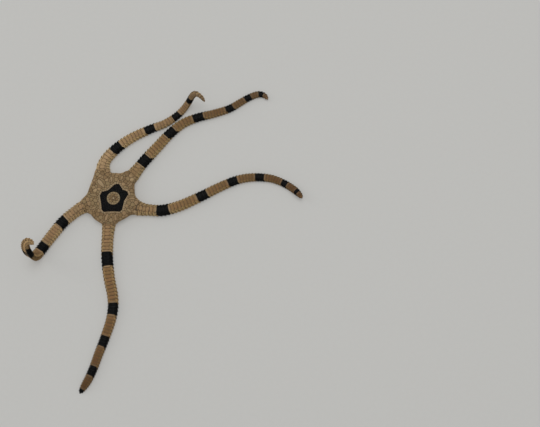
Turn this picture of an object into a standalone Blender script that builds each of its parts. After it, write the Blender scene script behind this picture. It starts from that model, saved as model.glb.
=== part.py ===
"""A banded serpent star, a brittle star of the genus Ophiolepis, at life size.

It lies on a floor with its mouth down. Three arms lie flat and the ends of two are lifted and curled.
The disc, the five jaws and four lengths of each arm are separate solids. Lengths are in millimetres
in the code and in metres in the scene. +Z is up and the floor is z = 0.
"""

import bisect
import math

import bmesh
import bpy
from mathutils import Vector

MM = 0.001
GAP = 0.3  # between solids that meet
SHARP_ANGLE = math.radians(40)  # edges sharper than this show as edges

# The disc
DISC_CENTRE = Vector((-27.72, 19.13, 0))  # the frame's origin is the middle of the footprint
DISC_HEIGHT = 5.4
DISC_CREST = 4.3  # height of the flat that meets an arm
MOUTH_RADIUS = 3.7
MOUTH_DEPTH = 1.9

# The middle, direction in degrees and half width of the flat where each arm leaves the disc
ARM_JOINS = {
    "arm_1": (-6.9, 16.0, 92, 3.7),
    "arm_2": (8.9, 13.3, 52, 3.5),
    "arm_3": (12.7, -4.6, -14, 3.7),
    "arm_4": (-2.55, -13.5, -94, 3.35),
    "arm_5": (-16.1, -3.8, -154.6, 3.4),
}

# The disc's outline from each arm to the next one clockwise
DISC_EDGES = (
    ((-2.6, 14.3), (0.3, 14.1), (3.2, 14.0)),
    ((10.2, 9.0), (10.2, 5.3), (10.9, 1.6)),
    ((8.9, -8.2), (5.7, -10.2), (2.6, -11.9)),
    ((-7.0, -12.3), (-9.8, -10.6), (-11.9, -8.0)),
    ((-14.4, 2.6), (-13.2, 6.5), (-11.6, 11.3)),
)

# The disc from the mouth over the rim to the back: (share of the way to the outline, height)
DISC_SOLE = (0.72, 0.0)
DISC_RIM = ((0.94, 0.7), (1.0, 2.4), (0.96, 4.1))
DISC_JOIN_RIM = ((1.0, 0.0), (1.0, 2.4), (1.0, DISC_CREST))
DISC_BACK = ((0.8, 4.95), (0.5, 5.3))

# The jaws, five wedges that close the mouth
JAW_TIP_RADIUS = 0.5
JAW_SHOULDER_RADIUS = 2.6
JAW_ROOT_RADIUS = 3.2
JAW_HALF_WIDTH = 1.35
JAW_BOTTOM = 0.1
JAW_TOP = MOUTH_DEPTH - GAP

# The arms
ARM_WIDTH = 6.1
ARM_BASE_FLARE = 0.7  # extra width at the disc, gone after ARM_FLARE_LENGTH
ARM_FLARE_LENGTH = 5.0
ARM_TAPERS = {  # share of the width lost along the whole arm
    "arm_1": 0.58, "arm_2": 0.48, "arm_3": 0.45, "arm_4": 0.36, "arm_5": 0.20,
}
ARM_TIP_SHARES = {  # the last share of the length, where the arm rounds off
    "arm_1": 0.12, "arm_2": 0.09, "arm_3": 0.07, "arm_4": 0.09, "arm_5": 0.20,
}
ARM_END_WIDTH = 0.9
HEIGHT_PER_WIDTH = 0.66
JOINT_LENGTHS = {"arm_1": 1.85, "arm_2": 1.85, "arm_3": 1.85, "arm_4": 1.85, "arm_5": 1.6}
JOINTS_EVEN_TO = 0.4  # share of the arm after which its joints get shorter
JOINT_SHORTENING = 0.33  # share of a joint's length lost by the tip
JOINT_WAIST = 0.93  # width just after a joint starts
JOINT_FLARE = 1.04  # width where a joint ends
JOINT_STEP = 0.16  # share of a joint over which the flare drops to the next waist
LENGTH_NAMES = ("base", "middle", "outer", "tip")
LENGTH_ENDS = (0.27, 0.54, 0.79, 1.0)  # shares of an arm's joints

# Half of an arm's section, from the sole up: (share of the half width, share of the height)
HALF_SECTION = ((0.62, 0.0), (1.0, 0.36), (0.80, 0.82))

# Points along the middle of each arm's sole after its join with the disc
ARM_ROUTES = {
    "arm_1": (
        (-5.5, 21.9, 0), (0.1, 28.2, 0), (8.0, 34.0, 0), (17.0, 38.5, 0), (24.6, 41.6, 0),
        (30.6, 45.8, 0), (34.8, 50.0, 0.5), (38.0, 53.2, 3.7), (40.2, 54.9, 8.0),
        (42.4, 55.0, 11.0), (44.9, 53.3, 10.6), (46.3, 51.6, 7.8),
    ),
    "arm_2": (
        (14.5, 20.8, 0), (21.1, 28.5, 0), (28.0, 36.4, 0), (34.6, 41.8, 0),
        (42.1, 45.0, 0), (50.5, 47.2, 0), (59.0, 50.1, 0), (64.6, 53.5, 0), (69.4, 56.4, 0),
        (74.2, 58.2, 0), (77.6, 57.6, 0.3), (79.6, 55.2, 1.0),
    ),
    "arm_3": (
        (17.8, -5.4, 0), (25.0, -5.6, 0), (34.0, -3.1, 0), (45.3, 2.2, 0), (53.0, 6.2, 0),
        (61.1, 9.9, 0), (67.6, 11.7, 0), (74.6, 12.2, 0), (81.7, 11.4, 0), (88.0, 8.9, 0),
        (92.7, 5.9, 0.5), (95.9, 2.7, 1.7), (97.4, 0.4, 2.8),
    ),
    "arm_4": (
        (-2.8, -18.5, 0), (-2.9, -24.0, 0), (-2.5, -32.0, 0), (-1.1, -41.0, 0), (0.8, -49.0, 0),
        (1.4, -55.0, 0), (0.6, -62.0, 0), (-1.9, -70.5, 0), (-4.8, -78.8, 0), (-7.2, -86.0, 0),
        (-9.7, -91.8, 0), (-13.4, -98.0, 0),
    ),
    "arm_5": (
        (-22.4, -8.2, 0), (-26.6, -12.2, 0), (-30.4, -17.2, 0), (-33.5, -21.5, 0),
        (-36.3, -25.6, 0), (-38.6, -29.3, 1.0), (-39.7, -31.4, 4.6), (-40.2, -31.5, 8.6),
        (-40.4, -30.6, 12.4), (-40.8, -28.6, 15.4), (-40.3, -26.4, 17.6), (-38.8, -25.0, 18.6),
        (-36.9, -25.1, 18.2), (-35.6, -26.2, 17.0),
    ),
}

ROUTE_STEP = 0.25  # between the samples of a route


def clear_scene():
    for obj in list(bpy.data.objects):
        bpy.data.objects.remove(obj, do_unlink=True)


def material(name, colour, roughness):
    made = bpy.data.materials.new(name)
    made.use_nodes = True
    shader = made.node_tree.nodes["Principled BSDF"]
    shader.inputs["Base Color"].default_value = (*colour, 1)
    shader.inputs["Roughness"].default_value = roughness
    shader.inputs["Metallic"].default_value = 0
    return made


def add_object(name, mesh_data, finish):
    """Makes an object from a bmesh whose points are in millimetres from the disc's centre."""
    bmesh.ops.recalc_face_normals(mesh_data, faces=mesh_data.faces)
    mesh = bpy.data.meshes.new(name)
    mesh_data.to_mesh(mesh)
    mesh_data.free()
    mesh.shade_smooth()
    mesh.set_sharp_from_angle(angle=SHARP_ANGLE)
    mesh.materials.append(finish)
    obj = bpy.data.objects.new(name, mesh)
    obj.location = DISC_CENTRE * MM
    bpy.context.scene.collection.objects.link(obj)
    return obj


def loft(rings):
    """A closed bmesh through rings of equally many points, with a flat cap at each end."""
    made = bmesh.new()
    loops = [[made.verts.new(point * MM) for point in ring] for ring in rings]
    for near, far in zip(loops, loops[1:]):
        for i, vert in enumerate(near):
            after = (i + 1) % len(near)
            made.faces.new((vert, near[after], far[after], far[i]))
    made.faces.new(loops[0])
    made.faces.new(reversed(loops[-1]))
    return made


def spline_point(a, b, c, d, share):
    """A point of the Catmull-Rom curve between b and c."""
    return 0.5 * (
        2 * b + (c - a) * share + (2 * a - 5 * b + 4 * c - d) * share**2
        + (3 * b - a - 3 * c + d) * share**3
    )


def direction(degrees):
    return Vector((math.cos(math.radians(degrees)), math.sin(math.radians(degrees)), 0))


def join_corners(name):
    """The ends of the flat that meets an arm, the anticlockwise one first."""
    x, y, degrees, half_width = ARM_JOINS[name]
    aside = direction(degrees + 90) * half_width
    return Vector((x, y, 0)) + aside, Vector((x, y, 0)) - aside


def disc_outline():
    """(point, rim) pairs clockwise around the disc, where rim is the profile of the disc's edge there."""
    corners = [join_corners(name) for name in ARM_JOINS]
    outline = []
    for number, edge in enumerate(DISC_EDGES):
        left, right = corners[number]
        next_left = corners[(number + 1) % len(corners)][0]
        outline += [(point, DISC_JOIN_RIM) for point in (left, (left + right) / 2, right)]
        knots = [right, *(Vector((*point, 0)) for point in edge), next_left]
        knots = [2 * knots[0] - knots[1], *knots, 2 * knots[-1] - knots[-2]]
        between = [
            spline_point(*knots[i : i + 4], share)
            for i in range(len(knots) - 3)
            for share in (0, 0.5)
        ]
        outline += [(point, DISC_RIM) for point in between[1:]]
    return outline


def make_disc(finish):
    """The disc: a low dome with a rounded rim, a flat underside and a round hollow for the mouth."""
    made = bmesh.new()
    top = made.verts.new((0, 0, DISC_HEIGHT * MM))
    roof = made.verts.new((0, 0, MOUTH_DEPTH * MM))
    columns = []
    for point, rim in disc_outline():
        mouth = point.normalized() * MOUTH_RADIUS
        column = [mouth + Vector((0, 0, MOUTH_DEPTH)), mouth]
        column += [point * share + Vector((0, 0, height)) for share, height in (DISC_SOLE, *rim, *DISC_BACK)]
        columns.append([made.verts.new(place * MM) for place in column])
    for here, after in zip(columns, columns[1:] + columns[:1]):
        made.faces.new((roof, here[0], after[0]))
        for i in range(len(here) - 1):
            made.faces.new((here[i], here[i + 1], after[i + 1], after[i]))
        made.faces.new((here[-1], top, after[-1]))
    return add_object("disc", made, finish)


def make_jaw(number, finish):
    """A wedge that points at the middle of the mouth, halfway between two arms."""
    outward = Vector((*DISC_EDGES[number][1], 0)).normalized()
    across = Vector((-outward.y, outward.x, 0))
    outline = (
        (JAW_TIP_RADIUS, 0.2), (JAW_SHOULDER_RADIUS, JAW_HALF_WIDTH), (JAW_ROOT_RADIUS, 0.8),
        (JAW_ROOT_RADIUS, -0.8), (JAW_SHOULDER_RADIUS, -JAW_HALF_WIDTH), (JAW_TIP_RADIUS, -0.2),
    )
    rings = [
        [outward * r + across * side * spread + Vector((0, 0, height)) for r, side in outline]
        for height, spread in ((JAW_BOTTOM, 0.8), (0.6, 1.0), (JAW_TOP, 0.85))
    ]
    return add_object(f"jaw_{number + 1}", loft(rings), finish)


class ArmRoute:
    """The smooth curve along an arm's sole, with the arm's side and back directions at any length."""

    def __init__(self, name):
        self.joint_length = JOINT_LENGTHS[name]
        self.taper = ARM_TAPERS[name]
        self.tip_share = ARM_TIP_SHARES[name]
        x, y, degrees, _ = ARM_JOINS[name]
        outward = direction(degrees)
        knots = [Vector((x, y, 0)) + outward * GAP, *map(Vector, ARM_ROUTES[name])]
        # The knot before the first one makes the arm leave the disc squarely
        before = knots[1] - 2 * outward * (knots[1] - knots[0]).length
        knots = [before, *knots, 2 * knots[-1] - knots[-2]]
        points = []
        for a, b, c, d in zip(knots, knots[1:], knots[2:], knots[3:]):
            count = max(2, round((c - b).length / ROUTE_STEP))
            points += [spline_point(a, b, c, d, i / count) for i in range(count)]
        points.append(knots[-2])
        # The curve may dip just before it rises, and the floor stops it
        points = [Vector((point.x, point.y, max(point.z, 0))) for point in points]
        self.points = points
        self.lengths = [0.0]
        for near, far in zip(points, points[1:]):
            self.lengths.append(self.lengths[-1] + (far - near).length)
        self.length = self.lengths[-1]
        self.ahead = [
            (points[min(i + 1, len(points) - 1)] - points[max(i - 1, 0)]).normalized()
            for i in range(len(points))
        ]
        # The back is carried along the curve without twist, from straight up at the disc
        self.back = [Vector((0, 0, 1))]
        for near, far in zip(self.ahead, self.ahead[1:]):
            turned = near.rotation_difference(far) @ self.back[-1]
            self.back.append((turned - far * turned.dot(far)).normalized())

    def at(self, length):
        """(point, side, back) at that length from the disc."""
        i = min(max(bisect.bisect_right(self.lengths, length) - 1, 0), len(self.points) - 2)
        share = (length - self.lengths[i]) / (self.lengths[i + 1] - self.lengths[i])
        ahead = self.ahead[i].lerp(self.ahead[i + 1], share).normalized()
        back = self.back[i].lerp(self.back[i + 1], share).normalized()
        return self.points[i].lerp(self.points[i + 1], share), ahead.cross(back), back

    def width(self, length):
        share = length / self.length
        into_tip = max(0, (share - 1 + self.tip_share) / self.tip_share)
        width = ARM_WIDTH * (1 - self.taper * share) * math.sqrt(max(0, 1 - into_tip**2))
        return max(width, ARM_END_WIDTH)

    def joints(self):
        """Lengths from the disc at which the arm's joints start and end."""
        ends = [0.0]
        while ends[-1] < self.length:
            into_end = max(0, (ends[-1] / self.length - JOINTS_EVEN_TO) / (1 - JOINTS_EVEN_TO))
            ends.append(ends[-1] + self.joint_length * (1 - JOINT_SHORTENING * into_end))
        stretch = self.length / ends[-1]
        return [end * stretch for end in ends]

    def ring(self, length, swell):
        """The arm's outline across its length, with the sole flat and the back's ridge at full height."""
        point, side, back = self.at(length)
        flare = ARM_BASE_FLARE * max(0, 1 - length / ARM_FLARE_LENGTH) ** 2
        half = (self.width(length) + flare) / 2 * swell
        height = self.width(length) * HEIGHT_PER_WIDTH
        right = [(x * half, y * height) for x, y in HALF_SECTION]
        left = [(-x, y) for x, y in reversed(right)]
        return [point + side * x + back * y for x, y in (*right, (0, height), *left)]


def make_arm(name, finish):
    """Four lengths of one arm. Each joint starts narrow and flares towards its end, as its side plates do."""
    arm = ArmRoute(name)
    joints = arm.joints()
    cuts = [0, *(round(share * (len(joints) - 1)) for share in LENGTH_ENDS)]
    for length_name, first, last in zip(LENGTH_NAMES, cuts, cuts[1:]):
        rings = []
        for start, end in zip(joints[first:last], joints[first + 1 : last + 1]):
            # A length that follows another one starts a gap later
            begins = start + GAP if start == joints[first] and first > 0 else start
            rings.append(arm.ring(begins, JOINT_WAIST))
            rings.append(arm.ring(end - (end - start) * JOINT_STEP, JOINT_FLARE))
        rings.append(arm.ring(joints[last], JOINT_WAIST))
        add_object(f"{name}_{length_name}", loft(rings), finish)


def main():
    clear_scene()
    plates = material("arm_plates", (0.25, 0.16, 0.085), 0.6)
    disc_plates = material("disc_plates", (0.21, 0.15, 0.09), 0.6)
    jaws = material("jaws", (0.42, 0.33, 0.22), 0.6)
    make_disc(disc_plates)
    for number in range(len(DISC_EDGES)):
        make_jaw(number, jaws)
    for name in ARM_ROUTES:
        make_arm(name, plates)


main()
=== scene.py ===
"""The looks of a banded serpent star, a brittle star of the genus Ophiolepis, at life size.

One dark skin covers the disc and the arms and shows only between the plates. The plates, scales,
spines and jaws lie on it as closed shells. Lengths in the code are in millimetres from the disc's
centre and are in metres in the scene. Angles are in degrees, +Z is up and the floor is z = 0.
"""

import math

import bpy
import numpy as np
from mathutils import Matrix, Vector


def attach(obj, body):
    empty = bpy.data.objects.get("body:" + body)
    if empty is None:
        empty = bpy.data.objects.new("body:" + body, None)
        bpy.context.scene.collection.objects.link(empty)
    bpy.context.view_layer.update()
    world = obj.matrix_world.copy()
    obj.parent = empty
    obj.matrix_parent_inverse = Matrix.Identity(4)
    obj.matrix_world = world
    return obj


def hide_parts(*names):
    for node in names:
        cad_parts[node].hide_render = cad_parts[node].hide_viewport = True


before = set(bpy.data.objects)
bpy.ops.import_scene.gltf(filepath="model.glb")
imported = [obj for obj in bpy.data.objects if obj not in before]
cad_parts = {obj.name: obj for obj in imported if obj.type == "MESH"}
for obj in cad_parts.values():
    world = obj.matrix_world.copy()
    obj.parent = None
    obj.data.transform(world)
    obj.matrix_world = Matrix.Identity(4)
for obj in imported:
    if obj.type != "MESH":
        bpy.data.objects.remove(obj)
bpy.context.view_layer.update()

MM = 0.001
SEED = 11
ROOT = "root"

# The solids' own dimensions, which the looks have to keep
GAP = 0.3
DISC_CENTRE = np.array((-27.72, 19.13, 0.0))
MOUTH_RADIUS = 3.7
MOUTH_DEPTH = 1.9
ARM_JOINS = {  # middle, direction and half width of the flat where each arm leaves the disc
    "arm_1": (-6.9, 16.0, 92, 3.7),
    "arm_2": (8.9, 13.3, 52, 3.5),
    "arm_3": (12.7, -4.6, -14, 3.7),
    "arm_4": (-2.55, -13.5, -94, 3.35),
    "arm_5": (-16.1, -3.8, -154.6, 3.4),
}
DISC_EDGES = (  # the disc's outline from each arm to the next one clockwise
    ((-2.6, 14.3), (0.3, 14.1), (3.2, 14.0)),
    ((10.2, 9.0), (10.2, 5.3), (10.9, 1.6)),
    ((8.9, -8.2), (5.7, -10.2), (2.6, -11.9)),
    ((-7.0, -12.3), (-9.8, -10.6), (-11.9, -8.0)),
    ((-14.4, 2.6), (-13.2, 6.5), (-11.6, 11.3)),
)
ARM_WIDTH = 6.1
ARM_FLARE_LENGTH = 6.0
ARM_TAPERS = {"arm_1": 0.58, "arm_2": 0.48, "arm_3": 0.45, "arm_4": 0.36, "arm_5": 0.20}
ARM_TIP_SHARES = {"arm_1": 0.12, "arm_2": 0.09, "arm_3": 0.07, "arm_4": 0.09, "arm_5": 0.20}
ARM_END_WIDTH = 0.9
HEIGHT_PER_WIDTH = 0.66
JOINT_LENGTHS = {"arm_1": 1.85, "arm_2": 1.85, "arm_3": 1.85, "arm_4": 1.85, "arm_5": 1.6}
JOINTS_EVEN_TO = 0.4  # share of the arm after which its joints get shorter
JOINT_SHORTENING = 0.33  # share of a joint's length lost by the tip
TIP_OVERHANG = 0.1  # how far the last plate of an arm passes the route's end
INNER_JOINTS = 3  # joints of each arm that lie under the disc's edge
ROUTE_STEP = 0.25
ARM_ROUTES = {
    "arm_1": (
        (-5.5, 21.9, 0), (0.1, 28.2, 0), (8.0, 34.0, 0), (17.0, 38.5, 0), (24.6, 41.6, 0),
        (30.6, 45.8, 0), (34.8, 50.0, 0.5), (38.0, 53.2, 3.7), (40.2, 54.9, 8.0),
        (42.4, 55.0, 11.0), (44.9, 53.3, 10.6), (46.3, 51.6, 7.8),
    ),
    "arm_2": (
        (14.5, 20.8, 0), (21.1, 28.5, 0), (28.0, 36.4, 0), (34.6, 41.8, 0),
        (42.1, 45.0, 0), (50.5, 47.2, 0), (59.0, 50.1, 0), (64.6, 53.5, 0), (69.4, 56.4, 0),
        (74.2, 58.2, 0), (77.6, 57.6, 0.3), (79.6, 55.2, 1.0),
    ),
    "arm_3": (
        (17.8, -5.4, 0), (25.0, -5.6, 0), (34.0, -3.1, 0), (45.3, 2.2, 0), (53.0, 6.2, 0),
        (61.1, 9.9, 0), (67.6, 11.7, 0), (74.6, 12.2, 0), (81.7, 11.4, 0), (88.0, 8.9, 0),
        (92.7, 5.9, 0.5), (95.9, 2.7, 1.7), (97.4, 0.4, 2.8),
    ),
    "arm_4": (
        (-2.8, -18.5, 0), (-2.9, -24.0, 0), (-2.5, -32.0, 0), (-1.1, -41.0, 0), (0.8, -49.0, 0),
        (1.4, -55.0, 0), (0.6, -62.0, 0), (-1.9, -70.5, 0), (-4.8, -78.8, 0), (-7.2, -86.0, 0),
        (-9.7, -91.8, 0), (-13.4, -98.0, 0),
    ),
    "arm_5": (
        (-22.4, -8.2, 0), (-26.6, -12.2, 0), (-30.4, -17.2, 0), (-33.5, -21.5, 0),
        (-36.3, -25.6, 0), (-38.6, -29.3, 1.0), (-39.7, -31.4, 4.6), (-40.2, -31.5, 8.6),
        (-40.4, -30.6, 12.4), (-40.8, -28.6, 15.4), (-40.3, -26.4, 17.6), (-38.8, -25.0, 18.6),
        (-36.9, -25.1, 18.2), (-35.6, -26.2, 17.0),
    ),
}

# Black bands on each arm: (distance of the middle from the disc, length)
ARM_BANDS = {
    "arm_1": ((13.8, 6.2), (34.1, 4.9), (49.7, 4.3), (62.7, 3.7)),
    "arm_2": ((9.2, 5.8), (29.4, 5.8), (46.8, 5.4), (63.8, 4.4), (75.6, 3.2), (83.2, 2.2)),
    "arm_3": ((12.1, 6.5), (33.9, 5.7), (51.6, 5.2), (65.7, 4.4), (79.4, 3.2), (88.0, 2.2)),
    "arm_4": ((17.3, 7.3), (42.9, 5.9), (59.4, 5.4), (74.7, 4.6), (86.8, 3.0)),
    "arm_5": ((12.8, 5.0), (29.2, 4.4), (46.7, 4.6)),
}
# How each arm's colour differs: (tone, how much it darkens along its length, tone added by the tip,
# paleness, paleness added by the tip)
ARM_TONES = {
    "arm_1": (0.80, 0.8, 0.0, 0.08, 0.14),
    "arm_2": (0.45, 1.0, 0.1, 0.0, 0.06),
    "arm_3": (0.47, 1.0, 0.05, 0.0, 0.0),
    "arm_4": (0.57, 1.0, -0.25, 0.0, 0.0),
    "arm_5": (0.58, 0.35, 0.05, 0.04, 0.06),
}
TONE_SPREAD = 0.11
END_SHARE = 0.25  # the last share of an arm, over which the tip's tone comes in
SPOT_AT = 1.2  # of the brown spots on the flanks, partly painted shade between the side plates, in half widths round from the ridge
SPOT_WIDTH = 0.4
SPOT_PHASE = 0.82  # share of a joint
SPOT_LENGTH = 0.28  # share of a joint
SPOT_STRENGTH = 1.4
SPOT_ON_BACK = 0.45  # of the fainter marks that run over the back
SPINE_SPOT = 0.7
BAND_SNAP = 0.4  # a band's end this near to a joint's end is moved to it
BAND_ON_FLANKS = ((-0.3, 0.12), (0.05, 0.35))  # least and most joints that bands run on at each end
CURL_RUN_ON = {"arm_5": 2.6}  # how much further an arm's last band runs on along the inside of its curl
BAND_MARK_RANGE = 2.0  # distance over which the mark for a band rises, half way at the band's end
CREAM_WIDTH = 0.7  # of the pale edge of each band
CREAM_STRENGTH = 0.18

# The arm's section, in half widths
RIDGE = 2 * HEIGHT_PER_WIDTH
WIDEST_AT = 0.36 * RIDGE
SOLE_HALF = 0.62
ARCH_POWER = 2.4
SECTION_SAMPLES = 480
ARM_INSET = 0.92  # the plates' faces lie this share of the half width out

# Where the plates lie across the section, in half widths round from the ridge
BACK_PLATE_HALF = 0.70
BACK_PLATE_HALF_AT_DISC = 0.42
BASE_JOINTS = 6  # joints over which the back plates widen from the disc
BASE_UNEVENNESS = 0.035  # of the plates' corners on those joints, and on the others
UNEVENNESS = 0.012
FLANK_TOP = 0.98
FLANK_FROM = 0.45  # where the back's colour starts to turn into the flanks' paler colour, which is partly painted light
FLANK_TO = 1.0
FLANK_ON_SOLE = 0.45  # how far the sole has the flanks' colour
FLANK_AT_DISC = 0.5  # the same for the flanks where the arms leave the disc
FLANK_REACH = 36.0  # distance over which that would rise by 1
LOWEST = 0.01  # height of the lowest points of an arm
SOLE_LIFT = 0.17  # height of the sole's skin, which leaves room for the plates under it
SKIN_DEPTH = 0.28
SKIN_START = 5.5  # how far inside the disc's edge each arm's skin starts

# The disc's section over the rim: (share of the way to the outline, height at an edge, at an arm)
DISC_SECTION = (
    (0.0, 5.4, 5.4), (0.25, 5.38, 5.38), (0.5, 5.3, 5.25), (0.8, 4.95, 4.75), (0.96, 4.1, 4.3),
    (1.0, 2.4, 2.4), (0.94, 0.7, 0.7), (0.72, 0.0, 0.0),
)
RIM_SCALES_END = 0.86  # share of the section's length where the rim's scales end under the disc
DISC_INSET = 0.06

# Marks on the back of the disc
ROSETTE_RADIUS = 3.4
BEAD_COUNT = 14
BLACK_STAR = (  # (angle, radius) round its outline, with two bumps at each corner and a hollow between corners
    (91, 6.9), (82, 7.6), (70.5, 8.0), (46, 6.5), (26.5, 7.9), (16, 7.8), (-15, 5.75), (-53, 7.7),
    (-63, 7.9), (-93, 6.9), (-123, 8.6), (-134, 8.3), (-159, 6.7), (168.5, 7.2), (153, 7.0), (122.5, 5.1),
)
CREAM_ROW = 0.36  # half the depth of the pale row round the black star
ROW_SPACING = 1.05
RADIAL_SHIELDS = {  # two for each arm: (angle, distance, length, width, paleness)
    "arm_1": ((131, 10.4, 5.8, 2.4, 0.6), (98.5, 10.3, 3.3, 1.5, 0.5)),
    "arm_2": ((71, 11.4, 3.2, 1.6, 0.2), (41, 11.0, 3.2, 1.6, 0.3)),
    "arm_3": ((0, 9.4, 3.6, 1.5, 0.4), (-38, 10.4, 3.4, 1.6, 0.15)),
    "arm_4": ((-108, 10.4, 4.3, 1.7, 0.35), (-82, 10.2, 3.8, 1.6, 0.3)),
    "arm_5": ((170, 10.6, 4.2, 1.7, 0.1), (-153, 11.0, 3.6, 1.6, 0.2)),
}
SHIELD_BELT = 0.36
SMALL_SCALE = 0.46  # radius of the small scales between the disc's larger plates

# Camera and light
CAMERA_TARGET = np.array((80.66, -6.95, 0.0))
CAMERA_DISTANCE = 390.0
CAMERA_ELEVATION = 78.0
CAMERA_LENS = 50.0
CAMERA_SENSOR = 36.0
FLOOR_SIZE = 20000.0
# Painted light: how strongly the floor glows, which softens the shadows on it
FLOOR_PAINTED_GLOW = 0.48

# Closed shells: (share of the way to the outline, height), from the middle of the top to that of the bottom
PEBBLE = (
    (0.0, 0.08), (0.35, 0.077), (0.68, 0.06), (0.88, 0.02), (0.97, -0.03), (1.0, -0.11),
    (0.99, -0.42), (0.0, -0.42),
)
MOSAIC_PLATE = (
    (0.0, 0.06), (0.35, 0.058), (0.65, 0.048), (0.86, 0.02), (0.96, -0.03), (1.0, -0.11),
    (0.99, -0.42), (0.0, -0.42),
)
BROAD_PLATE = (
    (0.0, 0.07), (0.25, 0.07), (0.5, 0.065), (0.75, 0.05), (0.90, 0.02), (0.97, -0.03), (1.0, -0.10),
    (0.99, -0.40), (0.0, -0.40),
)
SPINE = (
    (0.0, 0.17), (0.45, 0.145), (0.8, 0.07), (1.0, -0.02), (0.85, -0.10), (0.4, -0.14), (0.0, -0.14),
)
GRANULE = ((0.0, 0.06), (0.6, 0.04), (0.9, -0.02), (1.0, -0.10), (0.95, -0.30), (0.0, -0.30))


# Shapes

def direction(degrees):
    return Vector((math.cos(math.radians(degrees)), math.sin(math.radians(degrees)), 0))


def polar(degrees, radius):
    return np.array((math.cos(math.radians(degrees)), math.sin(math.radians(degrees)))) * radius


def spline_point(a, b, c, d, share):
    """A point of the Catmull-Rom curve between b and c."""
    return 0.5 * (
        2 * b + (c - a) * share + (2 * a - 5 * b + 4 * c - d) * share**2
        + (3 * b - a - 3 * c + d) * share**3
    )


def spline(knots, per_span):
    """Points of the Catmull-Rom curve through rows of numbers, per_span of them after each knot."""
    rows = np.array(knots, float)
    rows = np.vstack((2 * rows[0] - rows[1], rows, 2 * rows[-1] - rows[-2]))
    points = [
        spline_point(*rows[i : i + 4], j / per_span)
        for i in range(len(rows) - 3)
        for j in range(per_span)
    ]
    return np.array([*points, rows[-2]])


def distances(points):
    """How far along an open line each of its points lies."""
    return np.concatenate(([0.0], np.cumsum(np.linalg.norm(np.diff(points, axis=0), axis=1))))


def rounded(corners, softness, count, fine=192):
    """count points evenly spaced round a polygon whose corners are softened."""
    closed = np.vstack((corners, corners[:1]))
    reach = distances(closed)
    steps = np.linspace(0, reach[-1], fine, endpoint=False)
    dense = np.column_stack([np.interp(steps, reach, closed[:, axis]) for axis in (0, 1)])
    window = max(1, round(softness / reach[-1] * fine))
    weights = np.zeros(fine)
    weights[np.arange(-window, window + 1)] = 1 / (2 * window + 1)
    smoothing = np.fft.fft(weights)[:, None] ** 2
    return np.fft.ifft(np.fft.fft(dense, axis=0) * smoothing, axis=0).real[:: fine // count]


def signed_area(outline):
    x, y = outline.T
    return 0.5 * np.sum(x * np.roll(y, -1) - y * np.roll(x, -1))


def lifted(place, a, b, height, outward=1, step=0.04):
    """Points of a surface raised along its outward direction."""
    across_a = place(a + step, b) - place(a - step, b)
    across_b = place(a, b + step) - place(a, b - step)
    normal = np.cross(across_a, across_b) * outward
    normal /= np.maximum(np.linalg.norm(normal, axis=-1, keepdims=True), 1e-9)
    return place(a, b) + normal * np.asarray(height)[..., None]


class RoundOutline:
    """A closed line round the centre, given by corners and met once in each direction."""

    def __init__(self, corners):
        closed = np.vstack((corners, corners[:1]))
        shares = np.linspace(0, 1, 24, endpoint=False)[:, None]
        dense = np.concatenate([a + (b - a) * shares for a, b in zip(closed, closed[1:])])
        angles = np.degrees(np.arctan2(dense[:, 1], dense[:, 0]))
        self.angles = np.arange(-180, 180, 0.5)
        self.radii = np.interp(self.angles, angles, np.linalg.norm(dense, axis=1), period=360)

    def soften(self, degrees):
        """Rounds the corners by averaging over some degrees to each side."""
        reach = round(degrees / 0.5)
        shifted = [np.roll(self.radii, shift) for shift in range(-reach, reach + 1)]
        self.radii = np.mean(shifted, axis=0)

    def radius(self, degrees):
        return np.interp(degrees, self.angles, self.radii, period=360)

    def steepness(self, degrees):
        """How much longer the line is than the arc it spans."""
        turn = math.radians(1.0)
        slope = (self.radius(degrees + 0.5) - self.radius(degrees - 0.5)) / turn
        return math.hypot(1, slope / self.radius(degrees))

    def holds(self, x, y):
        return np.hypot(x, y) < self.radius(np.degrees(np.arctan2(y, x)))


# The arms

def section_table():
    """The arm's outline from the ridge of its back round and back to the ridge, for a half width of 1.

    The rows are the distance round, x, y, and the x and y of the outward direction.
    """
    turn = np.linspace(0, math.pi / 2, 120)
    power = 2 / ARCH_POWER
    arch_x = np.sin(turn) ** power
    arch_y = WIDEST_AT + (RIDGE - WIDEST_AT) * np.cos(turn) ** power
    under_x = SOLE_HALF + (1 - SOLE_HALF) * np.cos(turn) ** power
    under_y = WIDEST_AT * (1 - np.sin(turn) ** power)
    right = np.column_stack((np.concatenate((arch_x, under_x[1:])), np.concatenate((arch_y, under_y[1:]))))
    left = right[::-1] * (-1, 1)
    closed = np.vstack((right, left))
    reach = distances(closed)
    steps = np.linspace(0, reach[-1], SECTION_SAMPLES + 1)
    x, y = (np.interp(steps, reach, closed[:, axis]) for axis in (0, 1))
    slope_x, slope_y = np.gradient(x), np.gradient(y)
    size = np.hypot(slope_x, slope_y)
    return np.array((steps, x, y, -slope_y / size, slope_x / size))


SECTION = section_table()
SECTION_ROUND = SECTION[0, -1]
SOLE = SECTION_ROUND / 2  # the middle of the sole, in half widths round from the ridge


def from_ridge(across):
    """How far round from the ridge places lie, on either side."""
    across = np.mod(across, SECTION_ROUND)
    return np.minimum(across, SECTION_ROUND - across)


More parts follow.
